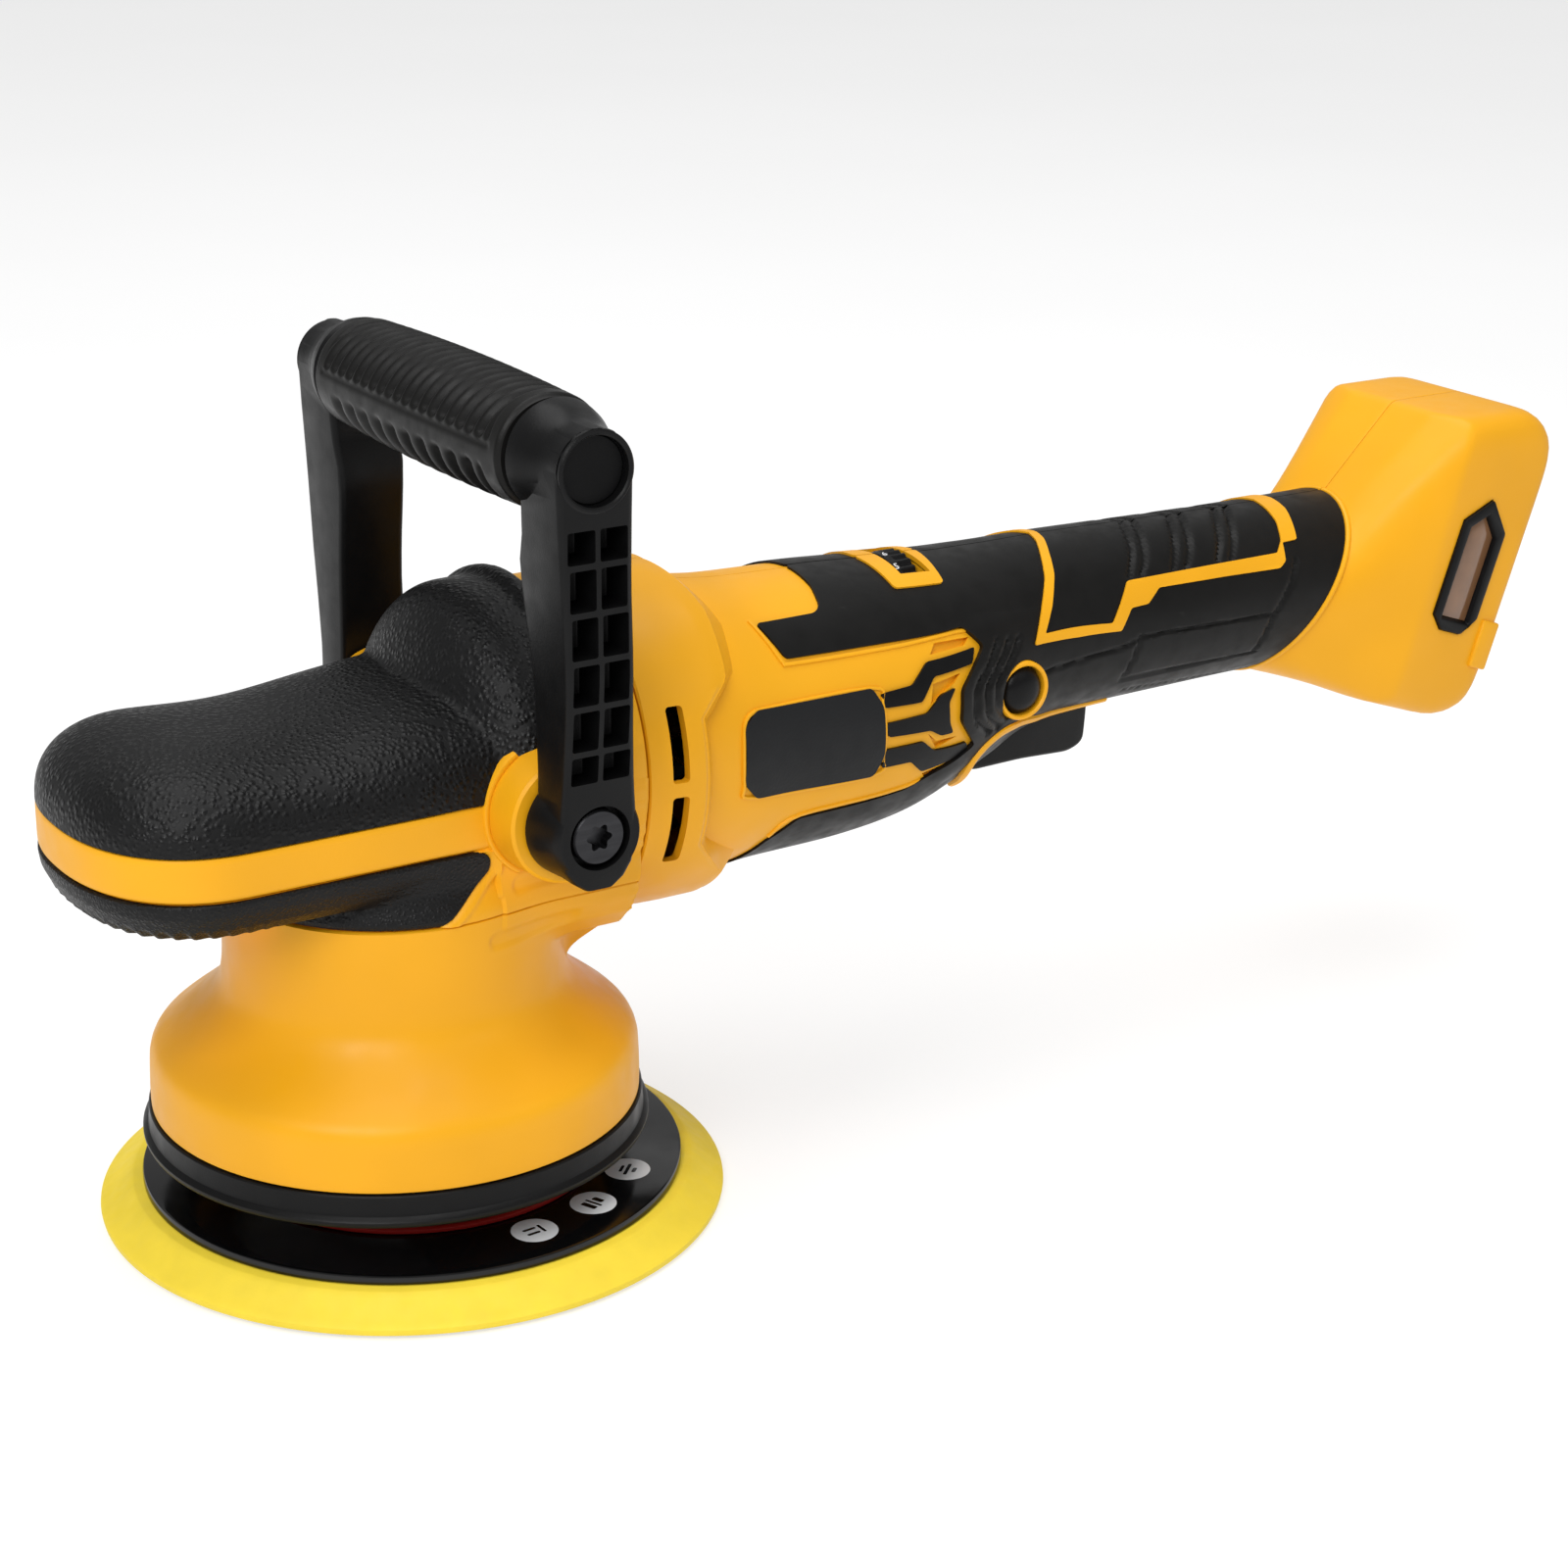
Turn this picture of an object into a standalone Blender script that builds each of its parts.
"""Cordless eccentric polisher: casings, D-handle, gear train, brushless motor, switchgear and pad.

Lengths are in millimetres and become metres when a mesh is made. +Z is up, the pad's face is at z = 0,
the spindle turns about the Z axis, and +X runs from the spindle to the battery foot.
"""

import math

import bmesh
import bpy
from mathutils import Matrix, Vector

MM = 0.001
GAP = 0.3  # clearance between separate pieces

# Pad and eccentric
ORBIT = 4.0
PAD_RADIUS = 75.0
PAD_TOP_RADIUS = 67.0
PAD_PLATE_RADIUS = 64.7
HOOK_TOP = 1.2
FOAM_TOP = 7.9
PLATE_TOP = 10.4

# Bell and neck
BELL_RADIUS = 58.0
BELL_BASE = 28.3
NECK_RADIUS = 39.8
NECK_INNER = 31.6
SEAM_HEIGHT = 83.5
SHROUD_BASE = 20.6

# Head
HEAD_HALF_WIDTH = 38.0
NOSE_TIP = -80.5
NOSE_LENGTH = 31.0
NOSE_POWER = 2.3
BAND_LOW = 100.0
BAND_HIGH = 110.0
HEAD_REAR = 46.0
BARREL_HEIGHT = 107.0  # height of the barrel's axis
BARREL_RADIUS = 41.0
DOME_RADIUS = 42.6
DOME_CENTRE = 20.5
DOME_REACH = 21.0
LIP_RADIUS = 44.7
LIP_FRONT = 28.5
LIP_REAR = 32.5
RUBBER = 2.6

# Motor, handle and battery foot: x, height of centre, half width, half height, roundness, lean in degrees
BODY_SECTIONS = (
    (46.3, 107.0, 41.0, 41.0, 2.0, 0.0),
    (63.0, 107.0, 42.2, 42.2, 2.05, 0.0),
    (70.5, 106.6, 40.8, 40.8, 2.05, 0.0),
    (79.0, 106.1, 37.4, 37.4, 2.1, 0.0),
    (90.0, 106.0, 35.2, 35.2, 2.1, 0.0),
    (115.0, 105.8, 34.6, 34.6, 2.1, 0.0),
    (134.0, 106.0, 33.0, 33.2, 2.1, 0.0),
    (149.0, 107.2, 30.2, 31.2, 2.05, 0.0),
    (161.0, 109.6, 26.6, 28.2, 2.0, 0.0),
    (173.0, 112.8, 23.6, 24.2, 2.0, 0.0),
    (190.0, 114.5, 22.4, 22.6, 2.0, 0.0),
    (230.0, 114.5, 21.5, 21.7, 2.0, 0.0),
    (259.0, 114.3, 21.2, 21.4, 2.0, 0.0),
    (269.1, 123.6, 21.6, 31.5, 2.0, 19.0),
    (277.8, 124.4, 23.4, 36.0, 2.5, 19.0),
    (286.9, 123.1, 26.6, 38.5, 3.2, 19.0),
    (295.0, 122.1, 30.0, 40.8, 5.5, 19.0),
    (311.4, 120.5, 30.5, 43.9, 7.0, 19.0),
    (319.3, 119.0, 30.5, 44.4, 7.0, 19.0),
    (326.0, 117.0, 30.3, 41.8, 7.0, 19.0),
    (332.9, 115.4, 29.0, 33.5, 7.0, 19.0),
)
SHELL_WALL = 2.5
FOOT_LEAN = 19.0
SECTION_POINTS = 24

# Gear train and motor
SHAFT_HEIGHT = 106.0
RING_TEETH = 36
PINION_TEETH = 12
RING_RADIUS = 22.5
PINION_RADIUS = RING_RADIUS * PINION_TEETH / RING_TEETH
GEAR_FACE = 7.0
TOOTH_HEIGHT = 2.0
SPINDLE_RADIUS = 5.0
SHAFT_RADIUS = 4.0
STATOR_START = 84.0
STATOR_END = 122.0

# D-handle
PIVOT = (21.5, 107.0)
GRIP_HEIGHT = 190.5
GRIP_X = 19.5
HANDLE_HALF_WIDTH = 64.4
LEG_DEPTH = 13.5
HUB_RADIUS = 12.0

# Controls
TRIGGER_PIVOT = (160.0, 95.0)
LOCK_BUTTON = (163.0, 107.5)
DIAL_X = 140.0
DIAL_HEIGHT = 128.0
DIAL_RADIUS = 11.8
SHELL_SCREWS = ((71.0, 106.6), (153.0, 108.0), (200.0, 114.5), (300.0, 118.0))

# The Manifold solver takes over where the exact one leaves edges open along grazing faces.
SOLVERS = {"gear_housing": "MANIFOLD", "bell_shroud": "MANIFOLD", "neck_rear": "MANIFOLD"}

YELLOW = ((0.90, 0.40, 0.02), 0.42, 0.0)
BLACK = ((0.02, 0.02, 0.02), 0.55, 0.0)
RUBBER_BLACK = ((0.018, 0.018, 0.018), 0.8, 0.0)
STEEL = ((0.55, 0.55, 0.56), 0.3, 1.0)
DARK_STEEL = ((0.25, 0.25, 0.26), 0.35, 1.0)
COPPER = ((0.75, 0.33, 0.15), 0.35, 1.0)
BRASS = ((0.8, 0.6, 0.25), 0.3, 1.0)
ALUMINIUM = ((0.75, 0.75, 0.76), 0.4, 1.0)
LEMON = ((0.85, 0.68, 0.08), 0.7, 0.0)
RED = ((0.6, 0.03, 0.02), 0.45, 0.0)
BOARD = ((0.02, 0.2, 0.07), 0.5, 0.0)
SMOKED = ((0.18, 0.1, 0.06), 0.15, 0.0)


def clear_scene():
    for obj in list(bpy.data.objects):
        bpy.data.objects.remove(obj, do_unlink=True)


def material(name, look):
    """A Principled material from a colour, a roughness and a metallic value."""
    colour, roughness, metallic = look
    made = bpy.data.materials.new(name)
    made.use_nodes = True
    shader = made.node_tree.nodes["Principled BSDF"]
    shader.inputs["Base Color"].default_value = (*colour, 1.0)
    shader.inputs["Roughness"].default_value = roughness
    shader.inputs["Metallic"].default_value = metallic
    made.diffuse_color = (*colour, 1.0)
    return made


def add(name, mesh_data, look=None, origin=(0.0, 0.0, 0.0)):
    """An object from a bmesh in millimetres, with its origin at the given point."""
    bmesh.ops.remove_doubles(mesh_data, verts=mesh_data.verts, dist=1e-4)
    bmesh.ops.recalc_face_normals(mesh_data, faces=mesh_data.faces)
    bmesh.ops.translate(mesh_data, verts=mesh_data.verts, vec=-Vector(origin))
    bmesh.ops.scale(mesh_data, verts=mesh_data.verts, vec=(MM, MM, MM))
    mesh = bpy.data.meshes.new(name)
    mesh_data.to_mesh(mesh)
    mesh_data.free()
    mesh.shade_smooth()
    mesh.set_sharp_from_angle(angle=math.radians(35.0))
    obj = bpy.data.objects.new(name, mesh)
    obj.location = Vector(origin) * MM
    bpy.context.scene.collection.objects.link(obj)
    if look:
        mesh.materials.append(material(name, look))
    return obj


def hide(obj):
    obj.hide_render = True
    obj.display_type = "WIRE"
    return obj


def combine(obj, other, operation="DIFFERENCE"):
    """Adds a Boolean of another object, which becomes a hidden tool."""
    modifier = obj.modifiers.new(f"{operation.title()} {other.name}", "BOOLEAN")
    modifier.operation = operation
    modifier.solver = SOLVERS.get(obj.name, "EXACT")
    modifier.object = hide(other)
    return obj


def cut(obj, *tools):
    for tool in tools:
        combine(obj, tool)
    return obj


def join(obj, *tools):
    for tool in tools:
        combine(obj, tool, "UNION")
    return obj


def loft(rings):
    """A closed solid through rings of equal point counts, with flat ends."""
    made = bmesh.new()
    rows = [[made.verts.new(point) for point in ring] for ring in rings]
    for low, high in zip(rows, rows[1:]):
        count = len(low)
        for i in range(count):
            made.faces.new((low[i], low[(i + 1) % count], high[(i + 1) % count], high[i]))
    made.faces.new(rows[0])
    made.faces.new(rows[-1])
    return made


def shell(outer, inner):
    """A closed sheet of some thickness between two grids of points that are open along all four edges."""
    made = bmesh.new()
    faces = [[[made.verts.new(point) for point in row] for row in grid] for grid in (outer, inner)]
    last_row = len(outer) - 1
    last_column = len(outer[0]) - 1
    for grid in faces:
        for i in range(last_row):
            for j in range(last_column):
                made.faces.new((grid[i][j], grid[i][j + 1], grid[i + 1][j + 1], grid[i + 1][j]))
    out, into = faces
    for i in (0, last_row):
        for j in range(last_column):
            made.faces.new((out[i][j], out[i][j + 1], into[i][j + 1], into[i][j]))
    for j in (0, last_column):
        for i in range(last_row):
            made.faces.new((out[i][j], out[i + 1][j], into[i + 1][j], into[i][j]))
    return made


def box_mesh(low, high):
    made = bmesh.new()
    size = Vector(high) - Vector(low)
    middle = (Vector(high) + Vector(low)) / 2
    bmesh.ops.create_cube(made, size=1.0, matrix=Matrix.Translation(middle) @ Matrix.Diagonal((*size, 1.0)))
    return made


def turned_mesh(profile, axis="Z", centre=(0.0, 0.0, 0.0), steps=32):
    """A solid turned from (radius, height) points about an axis. A profile off the axis makes a ring."""
    rings = []
    for step in range(steps):
        angle = 2 * math.pi * step / steps
        ring = []
        for radius, height in profile:
            across, up = radius * math.cos(angle), radius * math.sin(angle)
            place = {"Z": (across, up, height), "X": (height, across, up), "Y": (up, height, across)}[axis]
            ring.append(Vector(place) + Vector(centre))
        rings.append(ring)
    made = bmesh.new()
    rows = [[made.verts.new(point) for point in ring] for ring in rings]
    count = len(profile)
    for step in range(steps):
        here, there = rows[step], rows[(step + 1) % steps]
        for i in range(count):
            j = (i + 1) % count
            if profile[i][0] == 0 and profile[j][0] == 0:
                continue
            made.faces.new((here[i], here[j], there[j], there[i]))
    bmesh.ops.remove_doubles(made, verts=made.verts, dist=1e-5)
    return made


def rod_mesh(radius, low, high, axis="Z", centre=(0.0, 0.0, 0.0), steps=24):
    return turned_mesh([(0, low), (radius, low), (radius, high), (0, high)], axis, centre, steps)


def ring_mesh(inner, outer, low, high, axis="Z", centre=(0.0, 0.0, 0.0), steps=24):
    return turned_mesh([(inner, low), (outer, low), (outer, high), (inner, high)], axis, centre, steps)


# ---- surfaces shared by several pieces ----


def rounded(value, power):
    """Signed power, which squares off a circle's sine or cosine."""
    return math.copysign(abs(value) ** (2 / power), value)


def body_values(x):
    """The casing's section values at a place along X, read between the listed sections."""
    for low, high in zip(BODY_SECTIONS, BODY_SECTIONS[1:]):
        if x <= high[0]:
            break
    share = (x - low[0]) / (high[0] - low[0])
    return [a + (b - a) * share for a, b in zip(low, high)]


def body_point(x, angle, inset=0.0):
    """A point of the casing's skin. Angle 0 is the near side, 90 the top."""
    middle, height, half_width, half_height, power, lean = body_values(x)
    along = math.radians(lean)
    across = (half_width - inset) * rounded(math.cos(angle), power)
    up = (half_height - inset) * rounded(math.sin(angle), power)
    return Vector((middle + up * math.sin(along), -across, height + up * math.cos(along)))


def body_rows(stations, start, end, inset, steps):
    angles = [math.radians(start + (end - start) * i / steps) for i in range(steps + 1)]
    return [[body_point(x, angle, inset) for angle in angles] for x in stations]


def body_patch(stations, start, end, outer_inset, inner_inset, steps):
    """A piece of skin between two angles, from one inset to a deeper one."""
    return shell(
        body_rows(stations, start, end, outer_inset, steps),
        body_rows(stations, start, end, inner_inset, steps),
    )


def stations_between(low, high, most=12.0):
    """The listed sections' places between two ends, with the ends, and none further apart than most."""
    listed = [low] + [s[0] for s in BODY_SECTIONS if low < s[0] < high] + [high]
    places = [low]
    for a, b in zip(listed, listed[1:]):
        count = max(1, math.ceil((b - a) / most))
        places += [a + (b - a) * (i + 1) / count for i in range(count)]
    return places


def nose_half_width(x, inset=0.0):
    """Half the head's width: straight sides and a rounded nose."""
    start = NOSE_TIP + NOSE_LENGTH
    if x >= start:
        return HEAD_HALF_WIDTH - inset
    reach = min(1.0, (start - x) / (NOSE_LENGTH - inset))
    return (HEAD_HALF_WIDTH - inset) * (1 - reach**NOSE_POWER) ** (1 / NOSE_POWER)


def ridge_height(x, inset=0.0):
    """Height of the palm grip's ridge: a rounded nose, then a saddle that rises towards the dome."""
    crest = 128.5 + 0.028 * (x + 50) + 0.0011 * max(0.0, x + 30) ** 2 - inset
    reach = (NOSE_TIP + NOSE_LENGTH - 4 - x) / (NOSE_LENGTH - 4 - inset)
    if reach <= 0:
        return crest
    return BAND_HIGH + (crest - BAND_HIGH) * (1 - min(1.0, reach) ** 2.4) ** (1 / 2.4)


def saddle_mesh(inset, low, rear):
    """The nose and saddle as a solid: arched sections along X on a flat underside."""
    tip = NOSE_TIP + inset
    stations = [tip + 30.4 * (i / 6) ** 2 + 0.05 for i in range(7)]
    stations += [-38.0, -25.0, -12.0, 0.0]
    stations += [rear] if rear > 1 else []
    rings = []
    for x in stations:
        half = max(nose_half_width(x, inset), 0.4)
        top = max(ridge_height(x, inset), BAND_HIGH + 0.2)
        ring = [Vector((x, -half, low)), Vector((x, half, low))]
        for i in range(15):
            angle = math.pi * i / 14
            across = half * rounded(math.cos(angle), 2.7)
            up = (top - BAND_HIGH) * rounded(math.sin(angle), 2.3)
            ring.append(Vector((x, across, BAND_HIGH + up)))
        rings.append(ring)
    return loft(rings)


def dome_mesh(inset, rear, lip=False):
    """The dome over the gears, turned about the barrel's axis."""
    radius = DOME_RADIUS - inset
    reach = DOME_REACH - inset
    profile = [(0, rear), (0, DOME_CENTRE - reach)]
    for i in range(1, 7):
        angle = math.pi / 2 * i / 6
        profile.append((radius * math.sin(angle), DOME_CENTRE - reach * math.cos(angle)))
    if lip:
        profile += [(radius, LIP_FRONT), (LIP_RADIUS, LIP_FRONT + 1.2), (LIP_RADIUS, rear)]
    else:
        profile.append((radius, rear))
    return turned_mesh(profile, "X", (0, 0, BARREL_HEIGHT), 32)


def head_outline(inset, rear, steps=10):
    """Plan outline of the head, from the near rear corner round the nose to the far one."""
    start = NOSE_TIP + NOSE_LENGTH
    near = [(rear, -(HEAD_HALF_WIDTH - inset))]
    for i in range(steps + 1):
        angle = math.pi / 2 * i / steps
        x = start - (NOSE_LENGTH - inset) * rounded(math.sin(angle), NOSE_POWER)
        near.append((x, -(HEAD_HALF_WIDTH - inset) * rounded(math.cos(angle), NOSE_POWER)))
    return near + [(x, -y) for x, y in reversed(near[:-1])]


def head_prism(levels, rear):
    """The head's plan outline stacked through (height, inset) levels."""
    return loft([[Vector((x, y, z)) for x, y in head_outline(inset, rear)] for z, inset in levels])


# ---- pad and eccentric ----


def build_pad():
    centre = (ORBIT, 0, 0)
    add("hook_face", rod_mesh(PAD_RADIUS - 0.4, 0, HOOK_TOP, "Z", centre, 44), BLACK, centre)
    low = HOOK_TOP + 0.05
    foam = turned_mesh(
        [(0, low), (PAD_RADIUS, low), (PAD_RADIUS, low + 1.2), (PAD_TOP_RADIUS, FOAM_TOP), (0, FOAM_TOP)],
        "Z", centre, 44,
    )
    add("pad_foam", foam, LEMON, centre)
    plate = turned_mesh(
        [(0, FOAM_TOP + 0.05), (PAD_PLATE_RADIUS, FOAM_TOP + 0.05), (PAD_PLATE_RADIUS, PLATE_TOP - 0.6),
         (PAD_PLATE_RADIUS - 0.6, PLATE_TOP), (0, PLATE_TOP)],
        "Z", centre, 44,
    )
    add("pad_plate", plate, BLACK, centre)
    low = PLATE_TOP + 0.05
    hub = turned_mesh(
        [(5.0, low), (46, low), (46, low + 1.6), (30, low + 2.6), (24, low + 5.5), (5.0, low + 5.5)],
        "Z", centre,
    )
    add("pad_hub", hub, RED, centre)
    add("pad_stud", rod_mesh(4.0, low, 28.0, "Z", centre, 24), STEEL, centre)


def build_eccentric():
    """Counterweight on the spindle, and the bearing and stub shaft that carry the pad off centre."""
    centre = (ORBIT, 0, 0)
    stub = turned_mesh(
        [(4.3, 17.0), (12.0, 17.0), (12.0, 24.0), (9.0, 26.0), (9.0, 33.5), (6.0, 33.5), (6.0, 43.0),
         (0, 43.0), (0, 28.4), (4.3, 28.4)],
        "Z", centre, 32,
    )
    add("pad_spindle", stub, STEEL, centre)
    add("pad_bearing", ring_mesh(6.1, 14.0, 34.0, 42.6, "Z", centre), DARK_STEEL)
    block = add("eccentric_weight", rod_mesh(21.0, 33.0, 55.0, "Z", (0, 0, 0), 32), ALUMINIUM)
    lobe = rod_mesh(46.0, 36.0, 50.0, "Z", (0, 0, 0), 40)
    lobe = add("lobe_disc", lobe)
    keep = add("lobe_keep", box_mesh((-60, -40, 30), (-9, 40, 60)))
    hide(keep)
    combine(lobe, keep, "INTERSECT")
    join(block, lobe)
    cut(
        block,
        add("bearing_pocket", rod_mesh(14.15, 30.0, 43.4, "Z", centre)),
        add("spindle_socket", rod_mesh(SPINDLE_RADIUS + 1.05, 45.5, 60.0, "Z", (0, 0, 0))),
    )


def build_spindle():
    radius = SPINDLE_RADIUS
    shaft = turned_mesh(
        [(0, 45.8), (radius + 0.9, 45.8), (radius + 0.9, 74.0), (radius, 74.0), (radius, 90.4),
         (radius, 119.5), (0, 119.5)],
    )
    add("spindle", shaft, STEEL)
    add("spindle_bearing_lower", ring_mesh(radius + 0.98, 15.0, 62.0, 70.5), DARK_STEEL)
    add("spindle_bearing_upper", ring_mesh(radius + 0.08, 9.5, 113.0, 119.0), DARK_STEEL)


# ---- gears ----


def bevel_gear(teeth, pitch_radius, mate_radius, bore, back, phase=0.0):
    """A bevel gear about +Z with its apex at the origin and its pitch circle at height -mate_radius.

    Each tooth's section shrinks towards the apex. Its flanks lean in by a quarter of the pitch.
    """
    made = bmesh.new()
    slant = math.hypot(pitch_radius, mate_radius)
    inner = (slant - GEAR_FACE) / slant
    outward = Vector((mate_radius, pitch_radius)).normalized()  # as radius and height
    rows = []
    for share in (1.0, inner):
        ring = []
        for step in range(4 * teeth):
            turn = 2 * math.pi * (step / 4 - 0.375) / teeth + phase
            raised = step % 4 in (1, 2)
            lean = 0.055 * (1 if step % 4 in (0, 1) else -1) * 2 * math.pi / teeth
            wide = 0.02 * (1 if step % 4 in (0, 1) else -1) * 2 * math.pi / teeth
            lift = TOOTH_HEIGHT * (0.45 if raised else -0.62)
            radius = (pitch_radius + outward[0] * lift) * share
            height = (-mate_radius + outward[1] * lift) * share
            angle = turn + (lean + wide if raised else wide - lean)
            ring.append(Vector((radius * math.cos(angle), radius * math.sin(angle), height)))
        rows.append(ring)
    low = -mate_radius - back
    base = [Vector((v.x, v.y, low)) for v in rows[0]]
    hole_low = [Vector((bore * math.cos(a), bore * math.sin(a), low)) for a in angles_of(rows[0])]
    hole_high = [Vector((v.x, v.y, rows[1][0].z)) for v in hole_low]
    grid = [hole_low, base, rows[0], rows[1], hole_high]
    verts = [[made.verts.new(p) for p in ring] for ring in grid]
    count = len(base)
    for k in range(len(grid)):
        here, there = verts[k], verts[(k + 1) % len(grid)]
        for i in range(count):
            j = (i + 1) % count
            made.faces.new((here[i], here[j], there[j], there[i]))
    return made


def angles_of(ring):
    return [math.atan2(v.y, v.x) for v in ring]


def build_gears():
    """A ring gear on the spindle and a pinion on the motor shaft, in mesh, with a common apex."""
    apex = Matrix.Translation((0, 0, SHAFT_HEIGHT))
    ring = bevel_gear(RING_TEETH, RING_RADIUS, PINION_RADIUS, SPINDLE_RADIUS + 0.3, 4.0)
    bmesh.ops.transform(ring, matrix=apex, verts=ring.verts)
    add("ring_gear", ring, STEEL)
    half_pitch = math.pi / PINION_TEETH
    pinion = bevel_gear(PINION_TEETH, PINION_RADIUS, RING_RADIUS, SHAFT_RADIUS + 0.3, 3.0, half_pitch)
    lay = Matrix.Rotation(math.radians(-90), 4, "Y")
    bmesh.ops.transform(pinion, matrix=apex @ lay, verts=pinion.verts)
    add("pinion", pinion, STEEL, (0, 0, SHAFT_HEIGHT))


# ---- casings of the head ----


def build_bell():
    """Neck and bell, with the black ring under it."""
    outer = [(BELL_RADIUS, BELL_BASE), (BELL_RADIUS - 0.6, 42.0), (BELL_RADIUS - 1.6, 46.5), (55.0, 49.6),
             (51.5, 53.2), (46.5, 57.0), (42.6, 61.0), (40.4, 66.0), (NECK_RADIUS, 72.0),
             (NECK_RADIUS, SEAM_HEIGHT)]
    inner = [(36.0, SEAM_HEIGHT), (36.0, 66.0), (41.5, 58.0), (49.0, 50.0), (54.0, 44.0), (54.6, BELL_BASE)]
    bell = add("bell_shroud", turned_mesh(outer + inner, steps=36), YELLOW)
    barrel = add("neck_rear", rod_mesh(BARREL_RADIUS, 8.0, HEAD_REAR - GAP, "X", (0, 0, BARREL_HEIGHT), 32))
    combine(barrel, add("neck_keep", box_mesh((0, -60, 50), (60, 60, SEAM_HEIGHT))), "INTERSECT")
    join(bell, barrel)
    cut(
        bell,
        add("neck_bore", rod_mesh(35.7, 73.0, 90.0, steps=36)),
        add("neck_plate_seat", rod_mesh(34.6, 35.0, 60.0, "X", (0, 0, BARREL_HEIGHT), 36)),
        add("bearing_clearance", rod_mesh(15.3, 60.0, 80.0, steps=28)),
    )
    floor = ring_mesh(15.3, 37.6, 61.5, 71.0, steps=36)
    join(bell, add("bearing_floor", floor))
    ring = turned_mesh(
        [(54.0, SHROUD_BASE), (60.0, SHROUD_BASE), (60.2, 22.6), (58.8, 24.0), (58.4, BELL_BASE - GAP),
         (54.0, BELL_BASE - GAP)],
        steps=40,
    )
    add("shroud_ring", ring, BLACK)


def build_gear_housing():
    """The yellow casing round the gears, its band showing between the two rubber covers."""
    skin = RUBBER + GAP
    low = SEAM_HEIGHT + 0.2
    under = ((low - 1.3, 17.0), (88.0, 12.9), (90.5, 12.7), (91.6, 8.8), (93.5, 5.4), (96.0, 3.6))
    levels = under + ((BAND_LOW - 0.5, skin), (BAND_LOW, 0.0), (BAND_HIGH, 0.0))
    housing = add("gear_housing", head_prism(levels, 28.0), YELLOW)
    join(
        housing,
        add("housing_saddle", saddle_mesh(skin, BAND_HIGH - 3, 22.0)),
        add("housing_dome", dome_mesh(skin, 34.0)),
    )
    barrel = turned_mesh([(0, 18.0), (BARREL_RADIUS - 1.9, 22.0), (BARREL_RADIUS - 1.9, LIP_REAR),
                          (BARREL_RADIUS, LIP_REAR + GAP), (BARREL_RADIUS, HEAD_REAR), (0, HEAD_REAR)],
                         "X", (0, 0, BARREL_HEIGHT), 32)
    join(housing, add("housing_barrel", barrel))
    flank_levels = ((low, 34.6), (90.0, 36.6), (95.0, 37.6), (BAND_LOW + 0.2, HEAD_HALF_WIDTH - 0.2))
    flanks = loft([[Vector((x, y, z)) for x, y in ((2.6, -half), (38.0, -half), (38.0, half), (2.6, half))]
                   for z, half in flank_levels])
    join(housing, add("housing_flanks", flanks))
    pivot = (PIVOT[0], 0, PIVOT[1])
    join(housing, add("pivot_bosses", rod_mesh(14.9, -48.4, 48.4, "Y", pivot, 26)))
    below = add("housing_trim", box_mesh((-90, -60, 40), (60, 60, low)))
    cavity = add("cavity_front", rod_mesh(NECK_INNER + 0.8, 70.0, 112.0, steps=32))
    rear = turned_mesh([(0, 6.0), (34.0, 8.0), (34.0, HEAD_REAR + 3), (0, HEAD_REAR + 3)], "X",
                       (0, 0, BARREL_HEIGHT), 36)
    cut(housing, below, cavity, add("cavity_rear", rear))
    join(housing, add("housing_neck", ring_mesh(NECK_INNER, NECK_INNER + 3.5, low, 99.0, steps=32)))
    join(housing, add("upper_bearing_boss", rod_mesh(15.2, 110.7, 126.0)))
    cut(housing, add("upper_bearing_pocket", rod_mesh(9.65, 105.0, 120.5)))
    for side in (-1, 1):
        reach = sorted((side * 36.0, side * 50.0))
        cut(housing, add(f"bolt_bore_{side + 2}", rod_mesh(4.2, *reach, "Y", pivot, 20)))


def build_palm_grip():
    """The soft cover over nose, saddle and dome, with a raised lip at its rear."""
    low = BAND_HIGH + GAP
    grip = add("palm_grip", saddle_mesh(0.0, BAND_HIGH - 2, 24.0), RUBBER_BLACK)
    join(grip, add("grip_dome", dome_mesh(0.0, LIP_REAR, lip=True)))
    cut(
        grip,
        add("grip_trim", box_mesh((-90, -60, 50), (60, 60, low))),
        add("grip_hollow", saddle_mesh(RUBBER, BAND_HIGH - 6, 23.0)),
        add("grip_dome_hollow", dome_mesh(RUBBER, 60.0)),
    )
    for side in (-1, 1):
        reach = sorted((side * 28.0, side * 60.0))
        cut(grip, add(f"grip_relief_{side + 2}", rod_mesh(15.4, *reach, "Y", (PIVOT[0], 0, PIVOT[1]), 32)))


def build_nose_bumper():
    """The lower rubber cover that wraps round the nose under the yellow band."""
    rear = 2.0
    levels = ((BAND_LOW - 0.5 - GAP, 0.0), (96.0, 0.5), (92.5, 2.2), (89.8, 5.2), (88.4, 9.5))
    outer = [[Vector((x, y, z)) for x, y in head_outline(inset, rear)] for z, inset in levels]
    inner = [[Vector((x, y, z + lift)) for x, y in head_outline(inset + RUBBER, rear)]
             for (z, inset), lift in zip(levels, (0.0, 0.0, 0.8, 1.3, 1.6))]
    bumper = add("nose_bumper", shell(outer, inner), RUBBER_BLACK)
    cut(bumper, add("bumper_neck_cut", rod_mesh(NECK_INNER + 3.8, 80.0, 99.15, steps=32)))


# ---- motor, handle and foot casings ----


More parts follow.
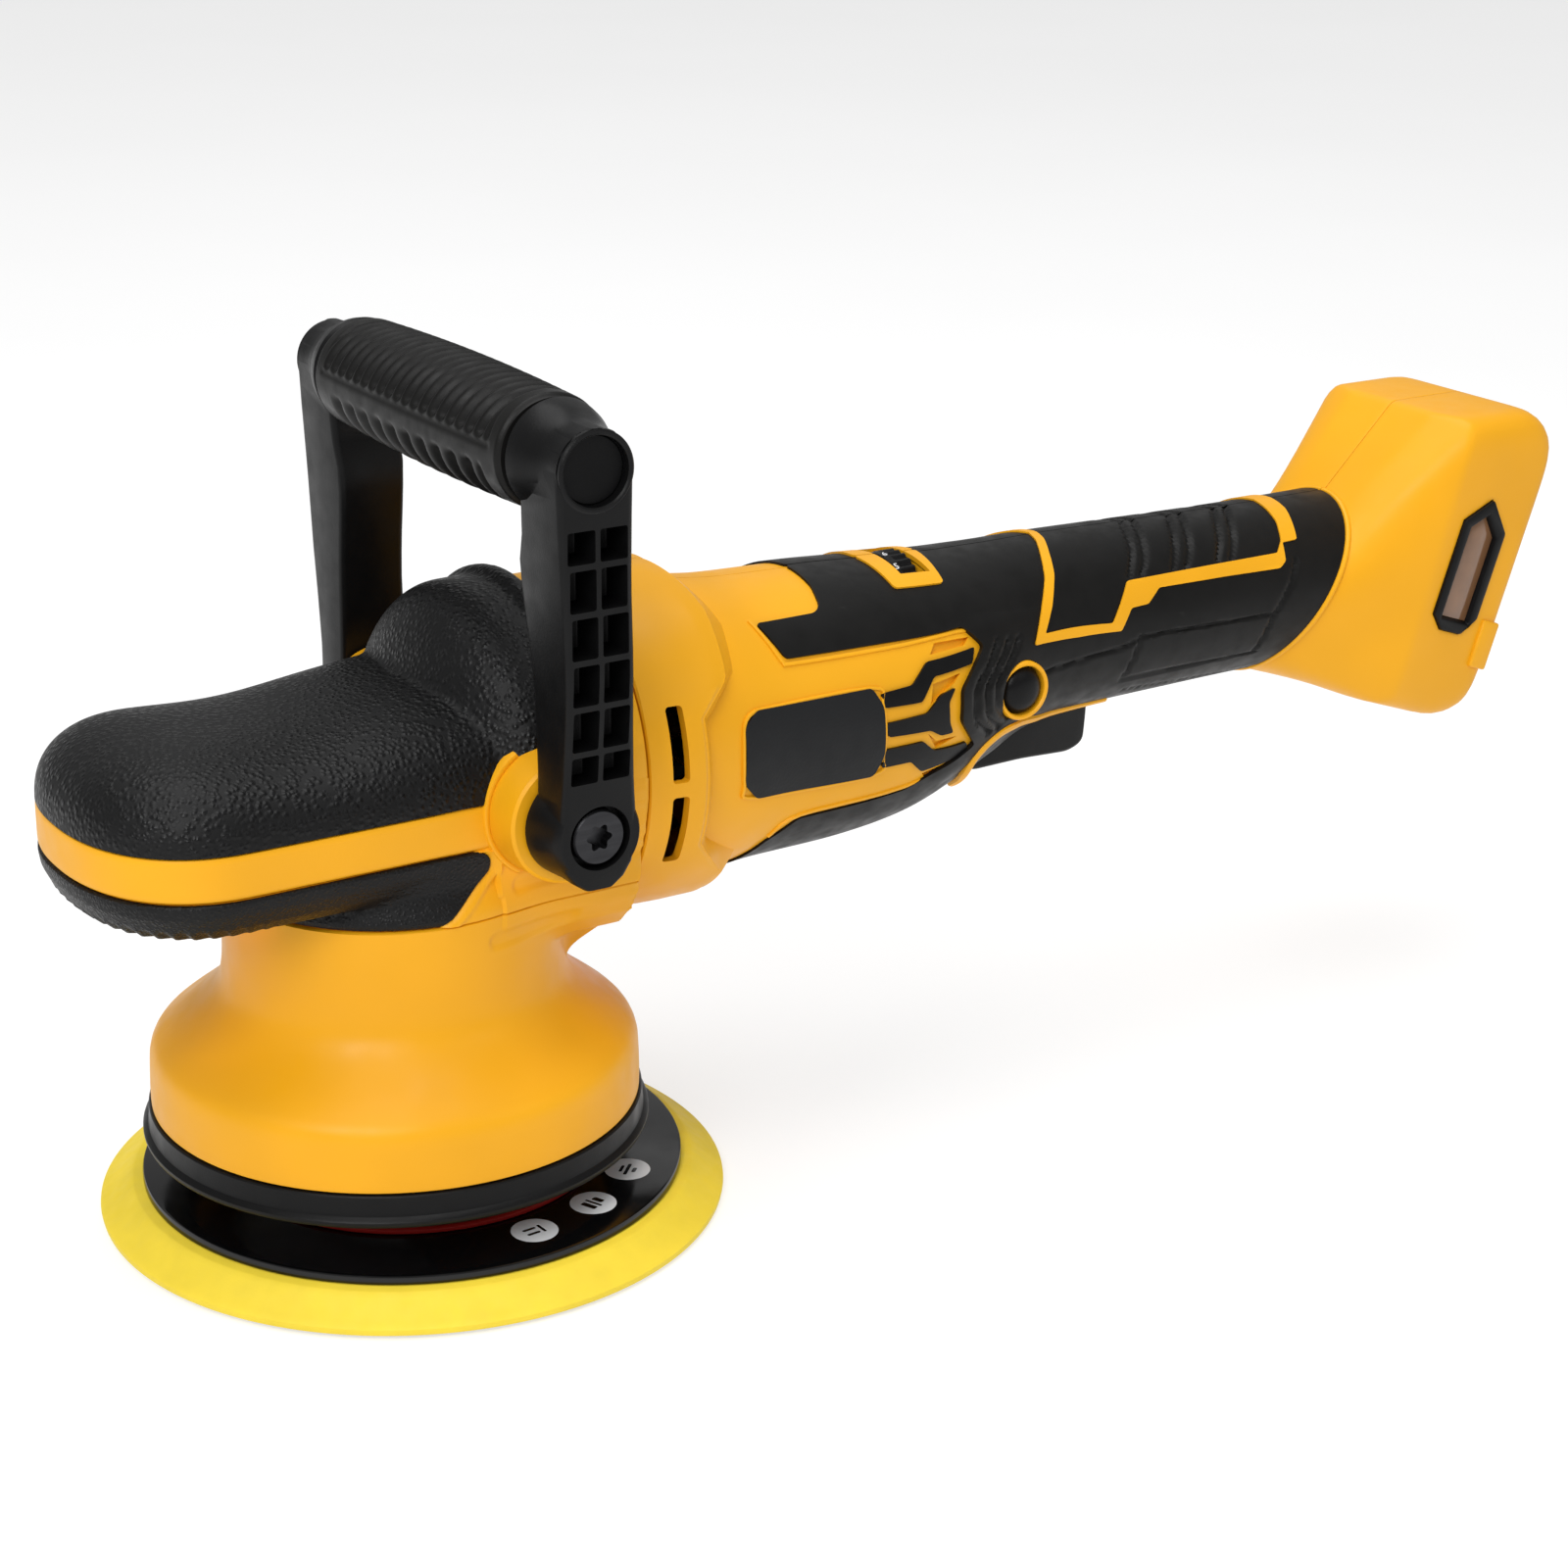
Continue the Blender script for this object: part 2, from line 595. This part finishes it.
def lean_box(depth, width, rise):
    """A box in the foot's leaning frame: depth along its normal, width along Y, rise along the lean."""
    made = box_mesh((depth[0], width[0], rise[0]), (depth[1], width[1], rise[1]))
    turn = Matrix.Rotation(math.radians(FOOT_LEAN), 4, "Y")
    bmesh.ops.transform(made, matrix=turn, verts=made.verts)
    return made


def build_body_shells():
    """Two clamshell halves from the collar to the battery foot, parted at y = 0."""
    stations = stations_between(BODY_SECTIONS[0][0], BODY_SECTIONS[-1][0], 20.0)
    seam = 0.25
    for name, start, side in (("body_shell_near", -90.0, -1), ("body_shell_far", 90.0, 1)):
        outer = body_rows(stations, start, start + 180.0, 0.0, SECTION_POINTS // 2)
        inner = body_rows(stations, start, start + 180.0, SHELL_WALL, SECTION_POINTS // 2)
        for grid in (outer, inner):
            for row in grid:
                for point in (row[0], row[-1]):
                    point.y = side * seam
        half = add(name, shell(outer, inner), YELLOW)
        for z in (86.5, 107.5):
            low, high = sorted((side * 25.0, side * 50.0))
            cut(half, add(f"vent_cut_{name}_{z:.0f}", box_mesh((52.0, low, z), (56.6, high, z + 17.5))))
        cut(
            half,
            add(f"trigger_cut_{name}", box_mesh((156.5, -9.6, 70.0), (200.5, 9.6, 97.0))),
            add(f"dial_cut_{name}", box_mesh((DIAL_X - 4.2, -12.0, 122.0), (DIAL_X + 4.2, 12.0, 150.0))),
            add(f"dock_cut_{name}", lean_box((262.5, 290.0), (-24.0, 24.0), (150.0, 240.0))),
        )
        if side > 0:
            for number, (x, z) in enumerate(SHELL_SCREWS, 1):
                cut(half, add(f"screw_hole_{number}", rod_mesh(3.4, 5.0, 60.0, "Y", (x, 0, z), 16)))
        if side < 0:
            x, z = LOCK_BUTTON
            cut(
                half,
                add("button_cut", rod_mesh(6.6, -40.0, -15.0, "Y", (x, 0, z), 28)),
                add("led_cut", lean_box((249.8, 267.6), (-40.0, -20.0), (194.9, 233.1))),
            )


def build_covers():
    """Rubber and plastic covers that stand on the casing."""
    sleeve = body_patch(stations_between(178.0, 258.0, 20.0), -60.0, 240.0, -1.6, -GAP, 30)
    add("handle_sleeve", sleeve, RUBBER_BLACK)
    top = body_patch(stations_between(92.0, 134.0, 16.0), 42.0, 138.0, -1.5, -GAP, 14)
    add("motor_top_cover", top, RUBBER_BLACK)
    for name, start in (("badge_near", -14.0), ("badge_far", 166.0)):
        plate = body_patch(stations_between(77.0, 113.0, 12.0), start, start + 36.0, -1.4, -GAP, 8)
        add(name, plate, BLACK)
    for name, start in (("motor_belly_near", -78.0), ("motor_belly_far", 220.0)):
        belly = body_patch(stations_between(84.0, 152.0, 16.0), start, start + 38.0, -1.2, -GAP, 8)
        add(name, belly, RUBBER_BLACK)


def build_motor():
    axis = (0, 0, SHAFT_HEIGHT)
    shaft = turned_mesh([(0, 12.6), (SHAFT_RADIUS, 12.6), (SHAFT_RADIUS, 137.5), (0, 137.5)], "X", axis, 28)
    add("motor_shaft", shaft, STEEL, axis)
    rotor = ring_mesh(SHAFT_RADIUS + 0.05, 13.4, STATOR_START, STATOR_END, "X", axis)
    add("rotor_core", rotor, DARK_STEEL, axis)
    add("stator_core", stator_mesh(), DARK_STEEL)
    for name, low in (("winding_front", STATOR_START - 6.3), ("winding_rear", STATOR_END + 0.3)):
        add(name, ring_mesh(15.0, 26.5, low, low + 6.0, "X", axis), COPPER)
    for name, low, outer in (("motor_bearing_front", 38.5, 11.0), ("motor_bearing_rear", 129.0, 9.5)):
        add(name, ring_mesh(SHAFT_RADIUS + 0.06, outer, low, low + 7.0, "X", axis), STEEL)
    plate = turned_mesh(
        [(11.2, 37.0), (32.6, 37.0), (32.6, 46.3), (36.2, 46.4), (36.2, 48.5), (11.2, 48.5)], "X", axis, 32
    )
    add("bearing_plate", plate, ALUMINIUM)
    holder = turned_mesh(
        [(9.7, 130.0), (28.0, 130.0), (28.0, 132.0), (12.0, 133.0), (12.0, 136.0), (9.7, 136.0)],
        "X", axis, 28,
    )
    add("rear_bearing_holder", holder, BLACK)
    add("cooling_fan", fan_mesh(), BLACK, axis)


def stator_mesh():
    """A laminated stack with open slots on its inner side."""
    slots, outer, inner, bottom = 6, 29.5, 14.2, 24.5
    inside, outside = [], []
    for slot in range(slots):
        radii = (inner, inner, bottom, bottom, bottom, inner)
        for share, radius in zip((0.0, 0.22, 0.3, 0.5, 0.7, 0.78), radii):
            angle = 2 * math.pi * (slot + share - 0.11) / slots
            inside.append((radius, angle))
            outside.append((outer, angle))
    rings = []
    for x in (STATOR_START, STATOR_END):
        for side in (inside, outside):
            rings.append([Vector((x, r * math.cos(a), SHAFT_HEIGHT + r * math.sin(a))) for r, a in side])
    order = (0, 1, 3, 2)
    made = bmesh.new()
    verts = [[made.verts.new(p) for p in rings[k]] for k in order]
    for k in range(4):
        here, there = verts[k], verts[(k + 1) % 4]
        for i in range(len(here)):
            j = (i + 1) % len(here)
            made.faces.new((here[i], here[j], there[j], there[i]))
    return made


def fan_mesh():
    """A hub, a back disc and straight blades, as one turned outline with raised sectors."""
    blades, hub, rim = 12, 9.0, 31.0
    low, disc, high = 52.0, 54.0, 63.0
    made = bmesh.new()
    bore = SHAFT_RADIUS + 0.05
    steps = 4 * blades
    columns = []
    for step in range(steps):
        angle = 2 * math.pi * step / steps
        raised = step % 4 == 0
        top = high if raised else disc
        profile = [(bore, low), (rim, low), (rim, top), (hub, top), (hub, high), (bore, high)]
        across, up = math.cos(angle), math.sin(angle)
        columns.append([Vector((x, r * across, SHAFT_HEIGHT + r * up)) for r, x in profile])
    rows = [[made.verts.new(p) for p in column] for column in columns]
    for step in range(steps):
        here, there = rows[step], rows[(step + 1) % steps]
        for i in range(6):
            j = (i + 1) % 6
            made.faces.new((here[i], here[j], there[j], there[i]))
    return made


# ---- D-handle ----


def build_handle():
    """A moulded frame on two pivot bolts, with a ribbed grip round its bar."""
    pivot = (PIVOT[0], 0, PIVOT[1])
    width = HANDLE_HALF_WIDTH
    bar_profile = [(0, -width), (8.7, -width), (9.2, -width + 8), (11.2, -width + 18), (11.2, width - 18),
                   (9.2, width - 8), (8.7, width), (0, width)]
    frame = add("handle_frame", turned_mesh(bar_profile, "Y", (GRIP_X, 0, GRIP_HEIGHT), 28), BLACK, pivot)
    for side in (-1, 1):
        outer, inner = side * width, side * (width - LEG_DEPTH)
        rings = []
        for x, z, half in ((PIVOT[0], 103.0, 9.6), (PIVOT[0], 118.0, 9.4), (GRIP_X + 1, 150.0, 8.3),
                           (GRIP_X, 180.0, 8.5), (GRIP_X, GRIP_HEIGHT, 8.3)):
            corners = ((x - half, outer), (x + half, outer), (x + half, inner), (x - half, inner))
            rings.append([Vector((px, py, z)) for px, py in corners])
        join(frame, add(f"leg_{side + 2}", loft(rings)))
        reach = sorted((side * 48.8, side * (width - 0.2)))
        hub = rod_mesh(HUB_RADIUS, *reach, "Y", pivot, 32)
        join(frame, add(f"hub_{side + 2}", hub))
        bore = sorted((side * 40.0, side * 70.0))
        sink = sorted((side * 57.0, side * 70.0))
        cut(
            frame,
            add(f"hub_bore_{side + 2}", rod_mesh(4.3, *bore, "Y", pivot, 20)),
            add(f"hub_sink_{side + 2}", rod_mesh(7.5, *sink, "Y", pivot, 28)),
        )
        name = "handle_bolt_near" if side < 0 else "handle_bolt_far"
        ends = [side * v for v in (36.6, 57.3, 61.0)]
        profile = [(0, ends[0]), (4.0, ends[0]), (4.0, ends[1]), (6.4, ends[1]), (6.4, ends[2]),
                   (3.2, ends[2]), (2.9, side * 58.4), (0, side * 58.4)]
        add(name, turned_mesh(profile, "Y", pivot, 24), DARK_STEEL)
    for side, name in ((-1, "handle_cap_near"), (1, "handle_cap_far")):
        ends = [side * (width + v) for v in (-0.2, 0.5)]
        profile = [(0, ends[0] + side * 0.4), (7.2, ends[0] + side * 0.4), (6.6, ends[1] + side * 0.2),
                   (0, ends[1] - side * 0.1)]
        cap = turned_mesh(profile, "Y", (GRIP_X, 0, GRIP_HEIGHT), 24)
        add(name, cap, BLACK, pivot)
    grip = turned_mesh(
        [(11.5, -45.5), (13.2, -45.5), (13.9, -30.0), (14.2, 0.0), (13.9, 30.0), (13.2, 45.5), (11.5, 45.5)],
        "Y", (GRIP_X, 0, GRIP_HEIGHT), 28,
    )
    add("handle_grip", grip, RUBBER_BLACK, pivot)


# ---- controls and electrics ----


def build_controls():
    px, pz = TRIGGER_PIVOT
    outline = [(157.6, 88.0), (158.6, 82.4), (162.5, 80.4), (178.0, 80.8), (193.0, 80.6), (197.0, 83.4),
               (199.0, 90.5), (199.2, 95.5), (158.0, 96.6)]
    trigger = loft([[Vector((x, y, z)) for x, z in outline] for y in (-9.0, 9.0)])
    add("trigger", trigger, BLACK, (px, 0, pz))
    x, z = LOCK_BUTTON
    profile = [(0, -29.2), (3.6, -28.9), (5.6, -27.9), (6.3, -26.0), (6.3, -14.0), (0, -14.0)]
    button = turned_mesh(profile, "Y", (x, 0, z), 28)
    add("lock_button", button, BLACK, (x, -26.0, z))
    notched = []
    for i in range(60):
        radius = DIAL_RADIUS - (0.8 if i % 2 else 0.0)
        notched.append((radius, 2 * math.pi * i / 60))
    rings = [[Vector((dx, r * math.cos(a), DIAL_HEIGHT + r * math.sin(a))) for r, a in notched]
             for dx in (DIAL_X - 3.6, DIAL_X + 3.6)]
    add("speed_dial", loft(rings), BLACK, (DIAL_X, 0, DIAL_HEIGHT))


def build_screws():
    """The screws that hold the clamshell together, from its far side."""
    for number, (x, z) in enumerate(SHELL_SCREWS, 1):
        _, _, half_width, _, _, _ = body_values(x)
        face = half_width - 2.2
        profile = [(0, face - 13.0), (1.5, face - 13.0), (1.5, face - 2.0), (3.0, face - 2.0), (3.0, face),
                   (0, face)]
        add(f"shell_screw_{number}", turned_mesh(profile, "Y", (x, 0, z), 16), DARK_STEEL)


def build_electrics():
    add("trigger_switch", box_mesh((164.0, -8.5, 103.5), (196.0, 8.5, 121.0)), BLACK)
    add("speed_control", box_mesh((DIAL_X + 4.4, -7.0, 120.0), (DIAL_X + 9.0, 7.0, 131.0)), BLACK)
    add("controller_board", box_mesh((204.0, -14.0, 108.0), (252.0, 14.0, 109.6)), BOARD)
    add("battery_dock", dock_mesh(), BLACK)
    add("terminal_block", lean_box((258.6, 267.0), (-13.0, 13.0), (196.0, 214.0)), BLACK)
    for name, y in (("terminal_positive", -9.0), ("terminal_negative", 8.0)):
        blade = lean_box((267.3, 274.0), (y, y + 1.0), (193.0, 210.0))
        add(name, blade, BRASS)
    add("led_board", lean_box((251.5, 266.0), (-26.7, -25.3), (197.0, 231.0)), BOARD)
    bezel = add("led_bezel", lean_box((250.1, 267.3), (-31.0, -28.3), (195.3, 232.7)), BLACK)
    cut(bezel, add("bezel_cut", lean_box((253.2, 264.3), (-35.0, -20.0), (198.6, 229.6))))
    add("led_lens", lean_box((253.5, 264.0), (-30.4, -27.4), (198.9, 229.3)), SMOKED)


def dock_mesh():
    """The plate that closes the foot, with two rails that the battery's shoe slides on."""
    side, lip, low, high = 24.6, 19.5, 188.0, 244.0
    outline = [(-side, 255.0), (side, 255.0), (side, 275.5), (lip, 275.5), (lip, 272.0), (side - 2.6, 272.0),
               (side - 2.6, 258.0), (2.6 - side, 258.0), (2.6 - side, 272.0), (-lip, 272.0), (-lip, 275.5),
               (-side, 275.5)]
    made = loft([[Vector((depth, y, rise)) for y, depth in outline] for rise in (low, high)])
    bmesh.ops.transform(made, matrix=Matrix.Rotation(math.radians(FOOT_LEAN), 4, "Y"), verts=made.verts)
    return made


def main():
    clear_scene()
    build_pad()
    build_eccentric()
    build_spindle()
    build_gears()
    build_bell()
    build_gear_housing()
    build_palm_grip()
    build_nose_bumper()
    build_body_shells()
    build_covers()
    build_motor()
    build_handle()
    build_controls()
    build_screws()
    build_electrics()


main()
